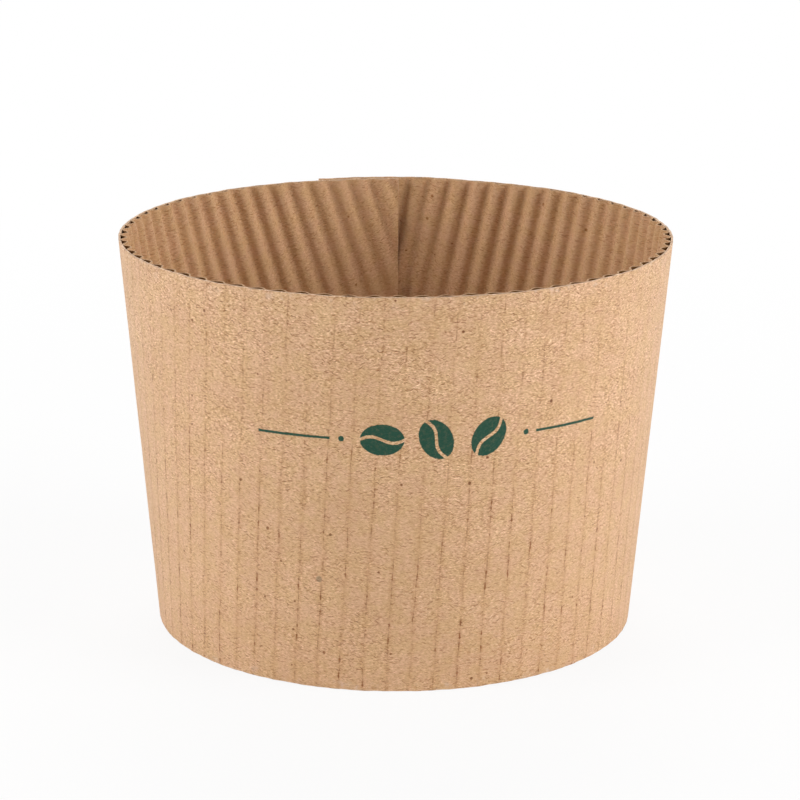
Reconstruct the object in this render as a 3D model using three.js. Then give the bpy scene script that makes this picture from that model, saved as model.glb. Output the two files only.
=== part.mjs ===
// Coffee cup sleeve of single-face corrugated kraft board, in millimetres, +Z up.
// A smooth liner faces outwards and carries a fluted medium on its back. The board is cut to an arc,
// wrapped to a cone and glued in a lap. It stands on Z = 0 with its axis on Z. The middle of the blank
// faces -Y and the lap is at the back, +Y.
import * as THREE from 'three';

// Sleeve, measured over the liner
const topDiameter = 82;
const height = 58.7;
const taperDeg = 4.96;

// Board, from its face inwards: the liner, the starch line that glues the flutes to it, and the medium
const linerThickness = 0.3;
const starchLine = 0.06;
const fluteHeight = 1.14;
const mediumThickness = 0.24;
const flutePitch = 3.35;
const fluteSkewDeg = 2.4;
const fluteOffset = 1.48;

// Lap at the back, where the flutes are pressed flatter and one end rides up over the other
const lapWidth = 12;
const lapRamp = 14;
const lapFluteHeight = 0.8;

// Strip of glue in the lap, and what it keeps clear of the board on each side
const seamGlueWidth = 8;
const seamGlueThickness = 0.1;
const seamGlueInset = 4;
const seamClearance = 0.06;

// Fineness of the facets
const linerStepDeg = 2;
const fluteRows = 6;
const stripsPerFlute = 4;

const taper = THREE.MathUtils.degToRad(taperDeg);
const fluteSkew = THREE.MathUtils.degToRad(fluteSkewDeg);
const bottomRadius = topDiameter / 2 - height * Math.tan(taper);
const middleRadius = (topDiameter / 2 + bottomRadius) / 2;

// The flat blank is a ring sector about the cone's apex: slant is the distance from the apex
const slantAt = (z) => bottomRadius / Math.sin(taper) + z / Math.cos(taper);
const middleSlant = slantAt(height / 2);

// Turn about the axis, counted from the middle of the front: each end passes the back by half the lap
const endTurn = Math.PI + lapWidth / 2 / middleRadius;
const lapStart = 2 * Math.PI - endTurn;
const rampTurn = lapRamp / middleRadius;

const boardThickness = linerThickness + starchLine + fluteHeight;
const lapThickness = linerThickness + starchLine + lapFluteHeight;
const seamGap = seamGlueThickness + 2 * seamClearance;

// How far the board is pressed at a turn: 0 away from the lap, 1 all through it
function pressedAt(turn) {
  return THREE.MathUtils.smoothstep(Math.abs(turn), lapStart - rampTurn, lapStart);
}

// Height of the flutes at a turn
function flutesAt(turn) {
  return THREE.MathUtils.lerp(fluteHeight, lapFluteHeight, pressedAt(turn));
}

// Radius of the board's inner side, the bottoms of the flutes. The end at a positive turn rides over
// the other one.
function innerRadius(turn, z) {
  const lift = turn > 0 ? pressedAt(turn) * (lapThickness + seamGap) : 0;
  return slantAt(z) * Math.sin(taper) - boardThickness + lift;
}

// Radius of the board's outer side, the liner's face
function outerRadius(turn, z) {
  return innerRadius(turn, z) + flutesAt(turn) + starchLine + linerThickness;
}

// Bends a unit box to the cone. place() turns its three coordinates, each 0 to 1 (across to the right,
// up, and outwards), into a turn, a height and a radius.
function bentBox(columns, rows, place) {
  const geometry = new THREE.BoxGeometry(1, 1, 1, columns, rows, 1);
  const position = geometry.getAttribute('position');
  for (let i = 0; i < position.count; i++) {
    const { turn, z, radius } = place(
      position.getX(i) + 0.5,
      position.getY(i) + 0.5,
      position.getZ(i) + 0.5,
    );
    position.setXYZ(i, radius * Math.sin(turn), -radius * Math.cos(turn), z);
  }
  geometry.computeVertexNormals();
  return geometry;
}

// Liner: one sheet from end to end
function linerGeometry() {
  const columns = Math.ceil((2 * endTurn) / THREE.MathUtils.degToRad(linerStepDeg));
  return bentBox(columns, 1, (across, up, outwards) => {
    const turn = (2 * across - 1) * endTurn;
    const z = up * height;
    const radius = outerRadius(turn, z) - (1 - outwards) * linerThickness;
    return { turn, z, radius };
  });
}

// Flutes run straight and parallel over the flat blank, leaning a little from its middle line. A line
// of the pattern is named by its distance from the middle of the blank.
function blankAngle(distance, slant) {
  return fluteSkew + Math.asin((distance - middleSlant * Math.sin(fluteSkew)) / slant);
}

function distanceAt(angle, slant) {
  return slant * Math.sin(angle - fluteSkew) + middleSlant * Math.sin(fluteSkew);
}

// Height of the flute wave, 1 on a crest glued to the liner and 0 in a trough. The crest, the trough
// and the two flanks are strips of equal width.
function waveAt(distance) {
  const phase = (distance - fluteOffset) / flutePitch;
  const fromCrest = Math.abs(phase - Math.round(phase));
  const troughStart = 1.5 / stripsPerFlute;
  return THREE.MathUtils.clamp((troughStart - fromCrest) * stripsPerFlute, 0, 1);
}

// Medium: its strips run on until they reach an end of the blank, and stop there
function mediumGeometry() {
  const endAngle = endTurn * Math.sin(taper);
  const slants = [slantAt(0), slantAt(height)];
  const strip = flutePitch / stripsPerFlute;
  const cornerOf = (distance) => (distance - fluteOffset) / strip - 0.5;
  const first = Math.floor(Math.min(...slants.map((slant) => cornerOf(distanceAt(-endAngle, slant)))));
  const last = Math.ceil(Math.max(...slants.map((slant) => cornerOf(distanceAt(endAngle, slant)))));
  return bentBox(last - first, fluteRows, (across, up, outwards) => {
    const z = up * height;
    const slant = slantAt(z);
    const corner = Math.round(THREE.MathUtils.lerp(first, last, across));
    const line = blankAngle(fluteOffset + (corner + 0.5) * strip, slant);
    const angle = THREE.MathUtils.clamp(line, -endAngle, endAngle);
    const turn = angle / Math.sin(taper);
    const rise = (flutesAt(turn) - mediumThickness) * waveAt(distanceAt(angle, slant));
    const radius = innerRadius(turn, z) + rise + outwards * mediumThickness;
    return { turn, z, radius };
  });
}

// Seam glue: a strip between the two ends, up the middle of the lap
function seamGlueGeometry() {
  const halfTurn = seamGlueWidth / 2 / middleRadius;
  const columns = Math.ceil((2 * halfTurn) / THREE.MathUtils.degToRad(linerStepDeg));
  return bentBox(columns, 1, (across, up, outwards) => {
    const turn = -Math.PI + (2 * across - 1) * halfTurn;
    const z = seamGlueInset + up * (height - 2 * seamGlueInset);
    const radius = outerRadius(turn, z) + seamClearance + outwards * seamGlueThickness;
    return { turn, z, radius };
  });
}

function piece(name, geometry, color, roughness) {
  const mesh = new THREE.Mesh(
    geometry,
    new THREE.MeshStandardMaterial({ color, roughness, metalness: 0 }),
  );
  mesh.name = name;
  return mesh;
}

const sleeve = new THREE.Group();
sleeve.name = 'coffee_cup_sleeve';
sleeve.add(
  piece('outer_liner', linerGeometry(), 0xd2a679, 0.85),
  piece('fluted_medium', mediumGeometry(), 0xb98d60, 0.9),
  piece('seam_glue', seamGlueGeometry(), 0xe9dcb8, 0.4),
);

export default sleeve;
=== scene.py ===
from math import cos, pi, radians, sin, tan

import bmesh
import bpy
import numpy as np
from mathutils import Matrix, Vector


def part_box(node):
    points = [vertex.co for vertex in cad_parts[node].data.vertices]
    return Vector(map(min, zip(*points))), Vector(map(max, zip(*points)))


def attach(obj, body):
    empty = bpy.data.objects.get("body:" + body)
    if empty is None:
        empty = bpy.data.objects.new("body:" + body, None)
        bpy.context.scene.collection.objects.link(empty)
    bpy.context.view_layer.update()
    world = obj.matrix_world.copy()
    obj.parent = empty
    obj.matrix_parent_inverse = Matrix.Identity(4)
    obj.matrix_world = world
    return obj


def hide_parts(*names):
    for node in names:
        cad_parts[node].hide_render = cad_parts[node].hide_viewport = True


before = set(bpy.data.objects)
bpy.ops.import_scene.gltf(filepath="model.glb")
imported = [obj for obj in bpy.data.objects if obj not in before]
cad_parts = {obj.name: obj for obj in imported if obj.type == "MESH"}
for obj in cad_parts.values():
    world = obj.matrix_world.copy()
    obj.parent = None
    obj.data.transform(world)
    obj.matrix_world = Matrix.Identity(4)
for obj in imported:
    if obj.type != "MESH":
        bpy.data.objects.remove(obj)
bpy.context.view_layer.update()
bpy.context.scene.view_settings.view_transform = "Standard"


# The camera stands in front of the sleeve, a little to the left of the blank's middle, and looks
# down on it through a long lens. Its lens is worked out for a picture 800 pixels square.
camera_distance = 0.4209
camera_height = 0.1515
camera_aside = 0.00075
camera_azimuth = radians(-8.5)
camera_pitch = radians(15.74)
camera_roll = radians(0.29)
image_pixels = 800
focal_pixels = 2901

camera_data = bpy.data.cameras.new("camera")
camera_data.sensor_width = 36
camera_data.lens = camera_data.sensor_width * focal_pixels / image_pixels
camera_data.clip_start = 0.01
camera = bpy.data.objects.new("camera", camera_data)
camera.matrix_world = (
    Matrix.Rotation(camera_azimuth, 4, "Z")
    @ Matrix.Translation((camera_aside, -camera_distance, camera_height))
    @ Matrix.Rotation(pi / 2 - camera_pitch, 4, "X")
    @ Matrix.Rotation(camera_roll, 4, "Z")
)
bpy.context.scene.collection.objects.link(camera)
bpy.context.scene.camera = camera


# Fluted medium: thin brown recycled paper, steamed and pressed into flutes between toothed rolls and
# glued to the back of the liner by its crests. Its flutes run straight over the flat blank, a ring
# sector that is wrapped to a cone, so they lean more and more towards the lap at the back.
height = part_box("fluted_medium")[1][2]
top_radius = 0.041
taper = radians(4.96)
liner_thickness = 0.0003
starch_line = 0.00006
flute_height = 0.00114
medium_thickness = 0.00024
flute_pitch = 0.00335
flute_skew = radians(2.4)
flute_offset = 0.00148
lap_width = 0.012
lap_ramp = 0.014
lap_flute_height = 0.0008
seam_glue_thickness = 0.0001
seam_clearance = 0.00006

bottom_radius = top_radius - height * tan(taper)
middle_radius = (top_radius + bottom_radius) / 2
end_turn = pi + lap_width / 2 / middle_radius
lap_start = 2 * pi - end_turn
board_thickness = liner_thickness + starch_line + flute_height
lap_thickness = liner_thickness + starch_line + lap_flute_height
seam_gap = seam_glue_thickness + 2 * seam_clearance

medium_strips = 12
medium_rows = 26
crest_flatness = 0.35
crest_gap = 0.00001
flute_spread = 0.035
flute_seed = 11
edge_crush = 0.14
edge_crush_reach = 0.0012
edge_wander = 0.00005
edge_wander_reach = 0.003
top_waves = (5, 11, 23, 47, 90)
foot_waves = (4, 13, 29, 53, 96)
usual_peak = 1.4
weld_distance = 1e-7
crease_angle = radians(50)


def smooth(value, low, high):
    """0 below low, 1 above high, and a cubic ease between them."""
    share = np.clip((value - low) / (high - low), 0, 1)
    return share * share * (3 - 2 * share)


def slant_at(z):
    """Distance from the cone's apex, down the flat blank, of the points at a height."""
    return bottom_radius / sin(taper) + z / cos(taper)


middle_slant = slant_at(height / 2)


def pressed_at(turn):
    """How far the board is pressed: 0 away from the lap, 1 all through it."""
    return smooth(np.abs(turn), lap_start - lap_ramp / middle_radius, lap_start)


def flutes_at(turn):
    """Height of the flutes, less in the lap."""
    return flute_height + pressed_at(turn) * (lap_flute_height - flute_height)


def inner_radius(turn, z):
    """Radius of the bottoms of the flutes. The end at a positive turn rides over the other."""
    lift = np.where(turn > 0, pressed_at(turn) * (lap_thickness + seam_gap), 0)
    return slant_at(z) * sin(taper) - board_thickness + lift


def outer_radius(turn, z):
    """Radius of the liner's face: flutes, starch line and liner added to the inner radius."""
    return inner_radius(turn, z) + flutes_at(turn) + starch_line + liner_thickness


def flute_angle(distance, slant):
    """Angle in the flat blank of the flute line at a distance from the blank's middle."""
    return flute_skew + np.arcsin((distance - middle_slant * sin(flute_skew)) / slant)


def flute_distance(angle, slant):
    """Distance from the blank's middle of the flute line through a point of the flat blank."""
    return slant * np.sin(angle - flute_skew) + middle_slant * sin(flute_skew)


def wander(turn, waves, seed):
    """Sum of sines round the cone, in whole waves with random phases, from about -1 to 1."""
    phases = np.random.default_rng(seed).uniform(0, 2 * pi, len(waves))
    total = sum(np.sin(wave * turn + phase) for wave, phase in zip(waves, phases))
    return total / len(waves) ** 0.5 / usual_peak


def on_cone(turn, z, radius):
    """Points at a radius, turned from the front round the axis. Near the two cut edges the height
    wanders a little, as a die cuts it."""
    top_share = smooth(z, height - edge_wander_reach, height)
    foot_share = smooth(-z, -edge_wander_reach, 0)
    lift = edge_wander * (
        top_share * wander(turn, top_waves, seed=3)
        + foot_share * (1 + wander(turn, foot_waves, seed=4))
    )
    return np.stack([radius * np.sin(turn), -radius * np.cos(turn), z + lift], axis=-1)


def rows_between(low, high, count, margin):
    """Heights from low to high, evenly spaced but for two rows close to each end."""
    close = np.array([0.25, 1]) * margin
    middle = np.linspace(low + 2 * margin, high - 2 * margin, count - 5)
    return np.concatenate([[low], low + close, middle, high - close[::-1], [high]])


def sheet(name, outer, inner, blank):
    """Closed sheet between two grids of points, given with the grid of their places on the flat
    blank. Columns that stop together at an end of the blank are merged there. The attribute
    cut_edge is 1 on the four cut sides, and faces_out is 1 on the outer face."""
    rows, columns = outer.shape[:2]
    count = rows * columns
    index = np.arange(count).reshape(rows, columns)

    def cells(grid, flip):
        quads = np.stack([grid[:-1, :-1], grid[:-1, 1:], grid[1:, 1:], grid[1:, :-1]], axis=-1)
        return (quads[..., ::-1] if flip else quads).reshape(-1, 4)

    def strip(line, flip):
        quads = np.stack([line[:-1], line[1:], line[1:] + count, line[:-1] + count], axis=-1)
        return quads[:, ::-1] if flip else quads

    faces = [cells(index, False), cells(index + count, True)]
    cuts = [
        strip(index[0], True),
        strip(index[-1], False),
        strip(index[:, 0], False),
        strip(index[:, -1], True),
    ]
    quads = np.concatenate(faces + cuts)
    points = np.concatenate([outer.reshape(-1, 3), inner.reshape(-1, 3)])
    places = np.tile(blank.reshape(-1, 2), (2, 1))

    corners = points[quads]
    across = np.linalg.norm(corners[:, [1, 2, 3, 0]] - corners, axis=-1)
    flat = (across < weld_distance).sum(axis=1) >= 2
    is_cut = np.arange(len(quads)) >= len(quads) - sum(map(len, cuts))
    is_out = np.arange(len(quads)) < len(faces[0])
    quads = quads[~flat]

    mesh = bpy.data.meshes.new(name)
    mesh.from_pydata(points, [], quads)
    uv = mesh.uv_layers.new(name="blank")
    uv.data.foreach_set("uv", places[quads].astype(np.float32).ravel())
    for label, marked in {"cut_edge": is_cut, "faces_out": is_out}.items():
        mark = mesh.attributes.new(label, "FLOAT", "FACE")
        mark.data.foreach_set("value", marked[~flat].astype(np.float32))
    merge_close(mesh)
    mesh.polygons.foreach_set("use_smooth", np.ones(len(mesh.polygons), bool))
    mesh.set_sharp_from_angle(angle=crease_angle)
    made = bpy.data.objects.new(name, mesh)
    bpy.context.scene.collection.objects.link(made)
    return made


def merge_close(mesh):
    """Welds points that lie in the same place."""
    body = bmesh.new()
    body.from_mesh(mesh)
    bmesh.ops.remove_doubles(body, verts=body.verts, dist=weld_distance)
    bmesh.ops.dissolve_degenerate(body, edges=body.edges, dist=weld_distance)
    body.to_mesh(mesh)
    body.free()


def flute_columns(strips, rows):
    """Grid over the flat blank. Its columns follow the flute lines, so many strips to a flute,
    until an end of the blank stops them. Gives each point's height, its turn round the cone, its
    distance from a crest counted in flutes, and its place on the blank."""
    end_angle = end_turn * sin(taper)
    slants = slant_at(np.array([0, height]))
    strip = flute_pitch / strips
    first = np.floor(flute_distance(-end_angle, slants).min() / strip)
    last = np.ceil(flute_distance(end_angle, slants).max() / strip)
    spare = np.ceil(flute_offset / strip)
    distance = flute_offset + np.arange(first - spare, last + 1) * strip
    z = rows_between(0, height, rows, edge_crush_reach)[:, None]
    slant = slant_at(z)
    angle = np.clip(flute_angle(distance[None, :], slant), -end_angle, end_angle)
    distance = flute_distance(angle, slant)
    along = slant * np.cos(angle - flute_skew) - middle_slant
    phase = (distance - flute_offset) / flute_pitch
    return z, angle / sin(taper), phase, np.stack([distance, along], axis=-1)


def medium_grid():
    """The middle of the paper follows a cosine across the flutes, flattened on crests and in
    troughs, and each trough has its own depth. Both faces lie half the paper's thickness from it,
    square to the wave."""
    z, turn, phase, blank = flute_columns(medium_strips, medium_rows)
    half = medium_thickness / 2
    swing = np.cos(2 * pi * phase)
    wave = 0.5 + 0.5 * ((1 + crest_flatness) * swing - crest_flatness * swing**3)
    steepness = 1 + crest_flatness - 3 * crest_flatness * swing**2
    trough = np.floor(phase).astype(int)
    depths = 1 + flute_spread * np.random.default_rng(flute_seed).normal(size=np.ptp(trough) + 1)
    crushed = smooth(-z, -edge_crush_reach, 0) + smooth(z, height - edge_crush_reach, height)
    depth = (flutes_at(turn) + starch_line - medium_thickness) * (1 - edge_crush * crushed)
    depth = depth * depths[trough - trough.min()]
    slope = -pi * depth * steepness * np.sin(2 * pi * phase) / flute_pitch
    top = inner_radius(turn, z) + flutes_at(turn) + starch_line - half - crest_gap
    middle = top - depth * (1 - wave)
    length = np.sqrt(1 + slope**2)

    def face(side):
        shift = -side * half * slope / length / middle
        return on_cone(turn + shift, z, middle + side * half / length)

    return face(1), face(-1), blank


def place(tree, kind, sockets=None, **settings):
    """Adds a shader node, sets its properties, and links or sets its inputs."""
    made = tree.nodes.new("ShaderNode" + kind)
    for key, value in settings.items():
        setattr(made, key, value)
    for key, value in (sockets or {}).items():
        if isinstance(value, bpy.types.NodeSocket):
            tree.links.new(value, made.inputs[key])
        else:
            made.inputs[key].default_value = value
    return made


def calc(tree, operation, *values):
    """A Math node's result."""
    return place(tree, "Math", dict(enumerate(values)), operation=operation).outputs[0]


def ease(tree, value, low, high, start=0.0, end=1.0):
    """Start below low, end above high, and a cubic ease between them."""
    sockets = {"Value": value, 1: low, 2: high, 3: start, 4: end}
    return place(tree, "MapRange", sockets, interpolation_type="SMOOTHSTEP").outputs[0]


def noise(tree, where, scale, detail=2.0, roughness=0.5):
    """Noise from about 0.3 to 0.7."""
    sockets = {"Vector": where, "Scale": scale, "Detail": detail, "Roughness": roughness}
    return place(tree, "TexNoise", sockets).outputs["Fac"]


def stretch(tree, where, move, scale):
    """A place moved and scaled along its axes."""
    sockets = {"Vector": where, "Location": move, "Scale": scale}
    return place(tree, "Mapping", sockets).outputs[0]


def tinted(tree, blend, share, under, over):
    """A colour laid over another by a share."""
    sockets = {0: share, 6: under, 7: over}
    return place(tree, "Mix", sockets, data_type="RGBA", blend_type=blend).outputs[2]


def new_group(name, inputs, outputs):
    """A shader node group with named inputs and outputs, and its two end nodes."""
    group = bpy.data.node_groups.new(name, "ShaderNodeTree")
    for label, kind in inputs.items():
        group.interface.new_socket(label, in_out="INPUT", socket_type="NodeSocket" + kind)
    for label, kind in outputs.items():
        group.interface.new_socket(label, in_out="OUTPUT", socket_type="NodeSocket" + kind)
    given = group.nodes.new("NodeGroupInput").outputs
    result = group.nodes.new("NodeGroupOutput").inputs
    return group, given, result


def grey(tree, value):
    """A grey colour of a value."""
    return place(tree, "CombineColor", {0: value, 1: value, 2: value}).outputs[0]


# A fibre fans out by the spread and bends by the curl. It is at full strength inside these shares
# of half its width and half its length.
fibre_spread = radians(85)
fibre_curl = 2000
fibre_core = 0.3
fibre_body = 0.6


def stroke_group():
    """Short curved fibres, one in each cell of a Voronoi pattern. The cell's colour gives each its
    direction, its bend and its strength. A fibre is where the distance to a parabola through the
    cell's point stays under half its width, for half its length to either side."""
    inputs = {
        "Place": "Vector",
        "Move": "Vector",
        "Cells": "Vector",
        "Half Length": "Float",
        "Half Width": "Float",
        "Share": "Float",
    }
    group, given, result = new_group("fibre strokes", inputs, {"Stroke": "Float"})
    spot = place(
        group,
        "VectorMath",
        {0: given["Place"], 1: given["Cells"], 2: given["Move"]},
        operation="MULTIPLY_ADD",
    ).outputs[0]
    sockets = {"Vector": spot, "Scale": 1.0}
    cell = place(group, "TexVoronoi", sockets, voronoi_dimensions="2D").outputs
    away = place(group, "VectorMath", {0: spot, 1: cell["Position"]}, operation="SUBTRACT")
    away = {0: away.outputs[0], 1: given["Cells"]}
    away = place(group, "VectorMath", away, operation="DIVIDE").outputs[0]
    turn, bend, strength = place(group, "SeparateColor", {0: cell["Color"]}).outputs
    angle = calc(group, "MULTIPLY", calc(group, "SUBTRACT", turn, 0.5), fibre_spread)
    turned = place(group, "VectorRotate", {"Vector": away, "Angle": angle}, rotation_type="Z_AXIS")
    along, aside, _ = place(group, "SeparateXYZ", {0: turned.outputs[0]}).outputs
    curve = calc(group, "MULTIPLY", calc(group, "SUBTRACT", bend, 0.5), fibre_curl)
    aside = calc(group, "MULTIPLY_ADD", calc(group, "MULTIPLY", along, along), curve, aside)
    wide = calc(group, "DIVIDE", calc(group, "ABSOLUTE", aside), given["Half Width"])
    long = calc(group, "DIVIDE", calc(group, "ABSOLUTE", along), given["Half Length"])
    side = ease(group, wide, fibre_core, 1, 1, 0)
    body = calc(group, "MULTIPLY", side, ease(group, long, fibre_body, 1, 1, 0))
    missing = calc(group, "SUBTRACT", 1, given["Share"])
    kept = ease(group, strength, missing, 1)
    group.links.new(calc(group, "MULTIPLY", body, kept), result["Stroke"])
    return group


# Each sort of fibre: where its pattern starts, its cells per metre across and along the flutes,
# half its length and width, the share of cells that hold one, and what it adds to the shade.
fibre_sorts = {
    "long dark": ((3, 7, 0), (1150, 2300, 1), 0.00042, 0.00008, 0.6, -0.48),
    "long light": ((9, 2, 0), (1200, 2200, 1), 0.0004, 0.00007, 0.6, 0.24),
    "short dark": ((4, 4, 0), (2300, 3800, 1), 0.00021, 0.00007, 0.9, -0.3),
    "short light": ((6, 1, 0), (2200, 3700, 1), 0.00022, 0.00007, 0.9, 0.23),
}
long_light_height = 0.1
cloud_scale = 330
patch_scale = 140
patch_shade = 0.16
calm_scale = 110
calmest, busiest = 0.75, 1.2
grain_scale = 3000
grain_stretch = (0.65, 1.3, 1)
grain_shade = 1.2
speck_cells = 420
speck_rare = 0.92
speck_sizes = (-0.09, 0.05)
speck_ragged_scale = 4500
speck_ragged = 0.08
speck_side = (-0.02, 0.03)
speck_shade = -0.8
speck_value = -0.1
speck_height = -0.1
dark_value, light_value = 0.35, 0.75
light_power = -0.5
redder_pulp = (1.02, 0.99, 1.03, 1)
yellower_pulp = (0.99, 0.985, 0.92, 1)


def kraft_group():
    """Unbleached kraft paper: clouds of redder and yellower pulp, a fine grain, dark and light
    fibres in two sizes that lie mostly across the flutes, and a few dark specks of bark. Patches
    of busier and calmer paper change how strongly the fibres show. A power over the paper's colour
    makes dark fibres browner and light ones paler, and a grey value over it sets how bright they
    are."""
    inputs = {"Place": "Vector", "Paper": "Color", "Strength": "Float"}
    group, given, result = new_group("kraft paper", inputs, {"Color": "Color", "Height": "Float"})
    where = given["Place"]
    strokes = stroke_group()

    def added(value, share, amount):
        return calc(group, "MULTIPLY_ADD", share, amount, value)

    def moved(across, along, scale=(1, 1, 1)):
        return stretch(group, where, (across, along, 0), scale)

    cloud = ease(group, noise(group, where, cloud_scale, 4, 0.6), 0.36, 0.64)
    patch = noise(group, moved(3, 1), patch_scale, 3)
    calm = noise(group, moved(5, 8), calm_scale, 2)
    busy = ease(group, calm, 0.35, 0.65, calmest, busiest)
    grain = noise(group, moved(1, 5, grain_stretch), grain_scale, 3, 0.7)

    sockets = {"Vector": where, "Scale": speck_cells}
    cells = place(group, "TexVoronoi", sockets, voronoi_dimensions="2D").outputs
    pick = place(group, "SeparateColor", {0: cells["Color"]}).outputs[0]
    size = ease(group, pick, speck_rare, 1, *speck_sizes)
    size = added(size, noise(group, where, speck_ragged_scale, 2), speck_ragged)
    speck = ease(group, calc(group, "SUBTRACT", cells["Distance"], size), *speck_side, 1, 0)

    fine = calc(group, "MULTIPLY", calc(group, "SUBTRACT", grain, 0.5), grain_shade)
    fibres = {}
    for sort, (move, spacing, length, width, share, tone) in fibre_sorts.items():
        sockets = {"Place": where, "Move": move, "Cells": spacing}
        sizes = {"Half Length": length, "Half Width": width, "Share": share}
        fibres[sort] = place(group, "Group", sockets | sizes, node_tree=strokes).outputs[0]
        fine = added(fine, fibres[sort], tone)

    shade = calc(group, "MULTIPLY", fine, busy)
    shade = added(shade, calc(group, "SUBTRACT", patch, 0.5), patch_shade)
    shade = calc(group, "MULTIPLY", added(shade, speck, speck_shade), given["Strength"])
    redder = tinted(group, "MULTIPLY", 1.0, given["Paper"], redder_pulp)
    yellower = tinted(group, "MULTIPLY", 1.0, given["Paper"], yellower_pulp)
    paper = tinted(group, "MIX", cloud, yellower, redder)
    dark = calc(group, "MINIMUM", shade, 0)
    light = calc(group, "MAXIMUM", shade, 0)
    power = added(calc(group, "SUBTRACT", 1, dark), light, light_power)
    richer = place(group, "Gamma", {0: paper, 1: power}).outputs[0]
    value = added(added(1, dark, dark_value), light, light_value)
    value = grey(group, added(value, speck, speck_value))
    group.links.new(tinted(group, "MULTIPLY", 1.0, richer, value), result["Color"])
    relief = added(added(fine, fibres["long light"], long_light_height), speck, speck_height)
    group.links.new(relief, result["Height"])
    return group


kraft = kraft_group()
strength_rise = (-0.01, 0.014)
medium_colour = (0.58, 0.36, 0.2, 1)
medium_cut_colour = (0.5, 0.32, 0.19, 1)
medium_channel_painted_shade = (0.19, 0.09, 0.03, 1)
medium_strength = 0.6
medium_roughness = 0.9
medium_specular = 0.12
medium_relief = 0.0001


def new_material(name):
    """An empty material with its tree and its Principled shader."""
    material = bpy.data.materials.new(name)
    material.use_nodes = True
    tree = material.node_tree
    return material, tree, tree.nodes["Principled BSDF"].inputs


def use_kraft(tree, paper, low, high):
    """The kraft group on the piece's flat blank: the place, the colour and the height. Its marks
    have the strength low near the foot and high near the top."""
    where = place(tree, "UVMap", uv_map="blank").outputs[0]
    along = place(tree, "SeparateXYZ", {0: where}).outputs[1]
    strength = ease(tree, along, *strength_rise, low, high)
    sockets = {"Place": where, "Paper": paper, "Strength": strength}
    made = place(tree, "Group", sockets, node_tree=kraft).outputs
    return where, made["Color"], made["Height"]


def bumped(tree, height_socket, strength, distance):
    """A normal with a relief pressed into it."""
    sockets = {"Height": height_socket, "Strength": strength, "Distance": distance}
    return place(tree, "Bump", sockets).outputs[0]


def medium_material():
    """Brown fluting paper, with painted shade: its side towards the liner is dark in the channels.
    """
    material, tree, shader = new_material("fluting paper")
    _, colour, relief = use_kraft(tree, medium_colour, medium_strength, medium_strength)
    painted_shade_side = place(tree, "Attribute", attribute_name="faces_out").outputs["Fac"]
    # The medium's face towards the liner is painted dark brown as painted shade inside the flute
    # channels.
    colour = tinted(tree, "MIX", painted_shade_side, colour, medium_channel_painted_shade)
    cut = place(tree, "Attribute", attribute_name="cut_edge").outputs["Fac"]
    tree.links.new(tinted(tree, "MIX", cut, colour, medium_cut_colour), shader["Base Color"])
    tree.links.new(bumped(tree, relief, 0.8, medium_relief), shader["Normal"])
    shader["Roughness"].default_value = medium_roughness
    shader["Specular IOR Level"].default_value = medium_specular
    return material


medium = sheet("medium_flutes", *medium_grid())
medium.data.materials.append(medium_material())
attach(medium, "root")
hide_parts("fluted_medium")


# Outer liner: the smooth unbleached kraft sheet that carries the flutes and faces the hand. It draws
# in a hair between the crests glued to its back, and the starch on them stains it in broken brown
# lines. The die leaves its cut edge pale and a little fuzzy.
liner_rows = 30
liner_strips = 8
washboard = 0.000035
liner_colour = (0.655, 0.41, 0.228, 1)
liner_cut_colour = (0.47, 0.3, 0.18, 1)
liner_scuff_colour = (0.74, 0.57, 0.45, 1)
liner_foot_strength = 1.0
liner_top_strength = 1.35
liner_relief = 0.00008
liner_roughness = 0.6
liner_specular = 0.3
liner_sheen = 0.14
liner_sheen_roughness = 0.6
bare_roughness = 0.95
worn_reach = 0.00011
rubbed_reach = (0.0004, 0.0022)
rubbed_strength = 0.4
stain_tint = (0.46, 0.28, 0.13, 1)
stain_bend = 0.0007
stain_bend_length = 0.006
stain_width_length = 0.0006
stain_half_widths = (-0.00002, 0.00014)
stain_side = (-0.00005, 0.00009)
dash_length = 0.0035
faintest_dash = 0.14
band_tint = (0.93, 0.89, 0.84, 1)
band_side = (0.00005, 0.0006)
ink_colour = (0.003, 0.061, 0.034, 1)
ink_cover = (0.93, 0.995)
ink_ragged = 0.0002
ink_side = (-0.00003, 0.00005)
print_slant = slant_at(height) - 0.0206
bean_pitch = 0.0075
bean_half_width = 0.0023
bean_half_length = 0.0031
bean_lean = radians(-28)
bean_turn = radians(62)
slit_swing = 0.00045
slit_half_width = 0.00022
rule_start = 0.0148
rule_end = 0.0255
rule_half_width = 0.0002
dot_place = 0.0132
dot_radius = 0.00042
fleck_place = (-0.01698, -0.02144)
fleck_radius = 0.0006
fleck_ink = 0.4


def liner_grid():
    """The face follows the cone and sinks between the glued crests by a cosine. The back lies one
    liner's thickness inside it."""
    z, turn, phase, blank = flute_columns(liner_strips, liner_rows)
    sunk = washboard * (0.5 - 0.5 * np.cos(2 * pi * phase))
    radius = outer_radius(turn, z) - sunk
    return on_cone(turn, z, radius), on_cone(turn, z, radius - liner_thickness), blank


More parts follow.
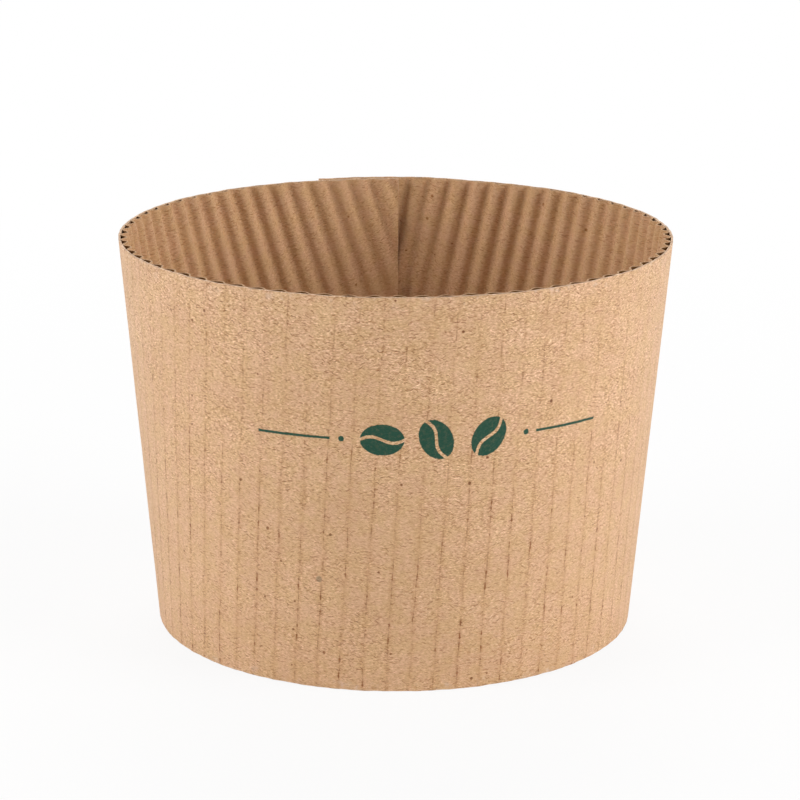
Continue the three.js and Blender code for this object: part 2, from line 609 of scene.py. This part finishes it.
def streak_group():
    """Stains on the glued crests: the distance to the nearest crest line, which wanders a little,
    falls inside a thin line whose width and darkness change along the flute, and which is broken
    into dashes and dots. A wider, paler band lies about it. Both fade towards the top."""
    outputs = {"Streak": "Float", "Band": "Float"}
    group, given, result = new_group("starch streaks", {"Place": "Vector"}, outputs)
    across, along, _ = place(group, "SeparateXYZ", {0: given["Place"]}).outputs
    phase = calc(group, "DIVIDE", calc(group, "SUBTRACT", across, flute_offset), flute_pitch)
    crest = calc(group, "ROUND", phase)
    away = calc(group, "MULTIPLY", calc(group, "SUBTRACT", phase, crest), flute_pitch)

    def along_flute(length, detail, seed):
        row = calc(group, "MULTIPLY", crest, 3.7)
        spot = {0: row, 1: calc(group, "DIVIDE", along, length), 2: seed}
        return noise(group, place(group, "CombineXYZ", spot).outputs[0], 1.0, detail)

    bend = calc(group, "SUBTRACT", along_flute(stain_bend_length, 5, 1.5), 0.5)
    bend = calc(group, "MULTIPLY", bend, stain_bend)
    off = calc(group, "ABSOLUTE", calc(group, "ADD", away, bend))
    wide = ease(group, along_flute(stain_width_length, 3, 4.5), 0.4, 0.72, *stain_half_widths)
    line = ease(group, calc(group, "SUBTRACT", off, wide), *stain_side, 1, 0)
    broken = ease(group, along_flute(dash_length, 6, 7.5), 0.44, 0.62, faintest_dash, 1)
    low = ease(group, along, 0.001, 0.012, 1, 0.6)
    strong = calc(group, "MULTIPLY", broken, low)
    group.links.new(calc(group, "MULTIPLY", line, strong), result["Streak"])
    soft = ease(group, off, *band_side, 1, 0)
    fading = ease(group, along, -0.002, 0.008, 1, 0.5)
    group.links.new(calc(group, "MULTIPLY", soft, fading), result["Band"])
    return group


def print_group():
    """A row of three coffee beans between two thin rules, each with a dot at its inner end. The row
    follows the arc of the blank. A bean is an ellipse with an S-shaped slit, and folding the row
    about the nearest bean's centre repeats it. A noise roughens the edges of the ink, and one pale
    fleck of it lies lower down."""
    group, given, result = new_group("bean print", {"Place": "Vector"}, {"Ink": "Float"})

    def length_of(parts):
        spot = place(group, "CombineXYZ", parts).outputs[0]
        return place(group, "VectorMath", {0: spot}, operation="LENGTH").outputs["Value"]

    across, along, _ = place(group, "SeparateXYZ", {0: given["Place"]}).outputs
    from_apex = {
        0: calc(group, "SUBTRACT", across, middle_slant * sin(flute_skew)),
        1: calc(group, "ADD", along, middle_slant),
    }
    slant = length_of(from_apex)
    angle = calc(group, "ADD", calc(group, "ARCTAN2", from_apex[0], from_apex[1]), flute_skew)
    rough = calc(group, "SUBTRACT", noise(group, given["Place"], 3200, 2), 0.5)
    rough = calc(group, "MULTIPLY", rough, ink_ragged)
    row = calc(group, "MULTIPLY", angle, print_slant)
    rise = calc(group, "SUBTRACT", slant, print_slant)

    which = calc(group, "ROUND", calc(group, "DIVIDE", row, bean_pitch))
    which = calc(group, "MAXIMUM", calc(group, "MINIMUM", which, 1), -1)
    beside = calc(group, "MULTIPLY_ADD", which, -bean_pitch, row)
    lean = calc(group, "MULTIPLY_ADD", which, bean_turn, bean_lean)
    spot = place(group, "CombineXYZ", {0: beside, 1: rise}).outputs[0]
    turned = place(group, "VectorRotate", {"Vector": spot, "Angle": lean}, rotation_type="Z_AXIS")
    short, long, _ = place(group, "SeparateXYZ", {0: turned.outputs[0]}).outputs
    oval = {
        0: calc(group, "DIVIDE", short, bean_half_width),
        1: calc(group, "DIVIDE", long, bean_half_length),
    }
    reach = length_of(oval)
    inside = calc(group, "MULTIPLY", calc(group, "SUBTRACT", 1, reach), bean_half_width)
    wave = calc(group, "SINE", calc(group, "MULTIPLY", oval[1], pi))
    from_slit = calc(group, "ABSOLUTE", calc(group, "MULTIPLY_ADD", wave, -slit_swing, short))
    bean = calc(group, "MINIMUM", inside, calc(group, "SUBTRACT", from_slit, slit_half_width))

    out = calc(group, "ABSOLUTE", row)
    from_middle = calc(group, "ABSOLUTE", calc(group, "SUBTRACT", out, (rule_start + rule_end) / 2))
    ends = calc(group, "SUBTRACT", (rule_end - rule_start) / 2, from_middle)
    thin = calc(group, "SUBTRACT", rule_half_width, calc(group, "ABSOLUTE", rise))
    rule = calc(group, "MINIMUM", ends, thin)
    to_dot = length_of({0: calc(group, "SUBTRACT", out, dot_place), 1: rise})
    dot = calc(group, "SUBTRACT", dot_radius, to_dot)
    to_fleck = length_of(
        {
            0: calc(group, "SUBTRACT", row, fleck_place[0]),
            1: calc(group, "SUBTRACT", rise, fleck_place[1]),
        }
    )
    fleck = ease(group, to_fleck, fleck_radius / 2, fleck_radius, fleck_ink, 0)
    depth = calc(group, "MAXIMUM", calc(group, "MAXIMUM", bean, rule), dot)
    printed = ease(group, calc(group, "ADD", depth, rough), *ink_side)
    group.links.new(calc(group, "MAXIMUM", printed, fleck), result["Ink"])
    return group


def liner_material():
    """Kraft liner with the stains of the crests, a small print in thin green ink that lets the
    fibres show, and a pale worn line where the die cut it."""
    material, tree, shader = new_material("kraft liner")
    strengths = (liner_foot_strength, liner_top_strength)
    where, colour, relief = use_kraft(tree, liner_colour, *strengths)
    stains = place(tree, "Group", {"Place": where}, node_tree=streak_group()).outputs
    colour = tinted(tree, "MULTIPLY", stains["Streak"], colour, stain_tint)
    colour = tinted(tree, "MULTIPLY", stains["Band"], colour, band_tint)
    ink = place(tree, "Group", {"Place": where}, node_tree=print_group()).outputs[0]
    cover = ease(tree, noise(tree, where, 1700, 4, 0.7), 0.3, 0.55, *ink_cover)
    colour = tinted(tree, "MIX", calc(tree, "MULTIPLY", ink, cover), colour, ink_colour)
    cut = place(tree, "Attribute", attribute_name="cut_edge").outputs["Fac"]
    up = place(tree, "SeparateXYZ", {0: place(tree, "TexCoord").outputs["Object"]}).outputs[2]
    close = calc(tree, "MINIMUM", up, calc(tree, "SUBTRACT", height, up))
    rubbed = ease(tree, noise(tree, where, 420, 5, 0.7), 0.54, 0.66)
    rubbed = calc(tree, "MULTIPLY", rubbed, ease(tree, close, *rubbed_reach, rubbed_strength, 0))
    colour = tinted(tree, "MIX", rubbed, colour, liner_scuff_colour)
    worn = ease(tree, close, 0, worn_reach, 1, 0)
    fuzz = ease(tree, noise(tree, where, 900, 4, 0.65), 0.42, 0.6, 0.15, 1)
    bare = calc(tree, "MULTIPLY", calc(tree, "MAXIMUM", cut, worn), fuzz)
    colour = tinted(tree, "MIX", bare, colour, liner_cut_colour)
    tree.links.new(colour, shader["Base Color"])
    tree.links.new(bumped(tree, relief, 1.0, liner_relief), shader["Normal"])
    dull = calc(tree, "MAXIMUM", ink, bare)
    roughness = ease(tree, dull, 0, 1, liner_roughness, bare_roughness)
    tree.links.new(roughness, shader["Roughness"])
    shader["Specular IOR Level"].default_value = liner_specular
    shader["Sheen Weight"].default_value = liner_sheen
    shader["Sheen Roughness"].default_value = liner_sheen_roughness
    return material


liner = sheet("liner_sheet", *liner_grid())
liner.data.materials.append(liner_material())
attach(liner, "root")
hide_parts("outer_liner")


# Seam glue: a strip of cold glue rolled on up the middle of the lap. It sets to a thin horny film
# with ragged sides, and holds the end on top to the liner of the end below.
glue_width = 0.008
glue_inset = 0.004
glue_rows = 60
glue_columns = 24
glue_ragged = 0.0006
glue_waves = (9, 21, 37)
glue_colour = (0.8, 0.72, 0.52, 1)
glue_cloud_colour = (0.72, 0.62, 0.42, 1)
glue_cloud_scale = 700
glue_roughness = (0.35, 0.5)
glue_relief = 0.00003


def glue_grid():
    """A strip about the back, whose half width wanders with the height."""
    z = np.linspace(glue_inset, height - glue_inset, glue_rows)[:, None]
    side = np.linspace(-1, 1, glue_columns)[None, :]
    ragged = 0.5 + 0.5 * wander(z / height * pi, glue_waves, seed=8)
    half = glue_width / 2 - glue_ragged * ragged
    turn = -pi + side * half / middle_radius
    radius = outer_radius(turn, z) + seam_clearance
    blank = np.stack(np.broadcast_arrays(side * half, z), axis=-1)
    return on_cone(turn, z, radius + seam_glue_thickness), on_cone(turn, z, radius), blank


def glue_material():
    """Pale dried glue, smoother than the paper, clouded by the water that left it."""
    material, tree, shader = new_material("seam glue")
    where = place(tree, "UVMap", uv_map="blank").outputs[0]
    cloud = ease(tree, noise(tree, where, glue_cloud_scale, 3), 0.35, 0.65)
    colour = tinted(tree, "MIX", cloud, glue_colour, glue_cloud_colour)
    tree.links.new(colour, shader["Base Color"])
    tree.links.new(ease(tree, cloud, 0, 1, *glue_roughness), shader["Roughness"])
    tree.links.new(bumped(tree, cloud, 0.4, glue_relief), shader["Normal"])
    return material


glue = sheet("seam_glue_film", *glue_grid())
glue.data.materials.append(glue_material())
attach(glue, "root")
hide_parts("seam_glue")


# Studio: a plain white table in a white room, lit by a large soft lamp on either side and a weaker
# one from behind.
floor_radius = 2.5
floor_sides = 96
floor_drop = 0.00005
floor_colour = (0.84, 0.84, 0.84, 1)
floor_glow = 0.88
floor_near = 0.08
floor_far = 0.3
room_light = 0.375


def floor_disc():
    """A round table top just under the sleeve."""
    turn = np.linspace(0, 2 * pi, floor_sides, endpoint=False)
    rim = np.stack([np.sin(turn), -np.cos(turn), 0 * turn], axis=-1) * floor_radius
    mesh = bpy.data.meshes.new("floor")
    mesh.from_pydata(rim - [0, 0, floor_drop], [], [np.arange(floor_sides)])
    return mesh


def seen_white(tree):
    """1 for what the camera sees straight, in a mirror or through glass."""
    ray = place(tree, "LightPath").outputs
    seen = calc(tree, "MAXIMUM", ray["Is Camera Ray"], ray["Is Glossy Ray"])
    return calc(tree, "MAXIMUM", seen, ray["Is Transmission Ray"])


floor = bpy.data.objects.new("floor", floor_disc())
bpy.context.scene.collection.objects.link(floor)
material, tree, shader = new_material("white table")
shader["Base Color"].default_value = floor_colour
shader["Roughness"].default_value = 0.9
glow = place(tree, "Emission", {"Color": (1, 1, 1, 1), "Strength": 1.0}).outputs[0]
spot = place(tree, "TexCoord").outputs["Object"]
away = place(tree, "VectorMath", {0: spot}, operation="LENGTH").outputs["Value"]
glow_share = ease(tree, away, floor_near, floor_far, floor_glow, 1)
share = calc(tree, "MULTIPLY", place(tree, "LightPath").outputs["Is Camera Ray"], glow_share)
mixed = place(tree, "MixShader", {0: share, 1: tree.nodes["Principled BSDF"].outputs[0], 2: glow})
tree.links.new(mixed.outputs[0], tree.nodes["Material Output"].inputs["Surface"])
floor.data.materials.append(material)

world = bpy.data.worlds.new("white room")
bpy.context.scene.world = world
world.use_nodes = True
tree = world.node_tree
backdrop = tree.nodes["Background"].inputs
backdrop["Color"].default_value = (1, 1, 1, 1)
tree.links.new(ease(tree, seen_white(tree), 0, 1, room_light, 1), backdrop["Strength"])


def soft_lamp(name, azimuth, elevation, distance, size, power):
    """A square lamp at a direction from the camera's, aimed at the middle of the sleeve."""
    lamp = bpy.data.lights.new(name, "AREA")
    lamp.size = size
    lamp.energy = power
    turned = camera_azimuth + radians(azimuth)
    rise = radians(elevation)
    back = Vector((sin(turned) * cos(rise), -cos(turned) * cos(rise), sin(rise)))
    made = bpy.data.objects.new(name, lamp)
    made.location = back * distance + Vector((0, 0, height / 2))
    made.rotation_mode = "QUATERNION"
    made.rotation_quaternion = back.to_track_quat("Z", "Y")
    made.visible_camera = False
    bpy.context.scene.collection.objects.link(made)


soft_lamp("lamp_right", azimuth=72, elevation=22, distance=1.2, size=0.7, power=10.1)
soft_lamp("lamp_left", azimuth=-72, elevation=22, distance=1.2, size=0.7, power=8.5)
soft_lamp("lamp_behind", azimuth=180, elevation=45, distance=1.4, size=0.8, power=7)
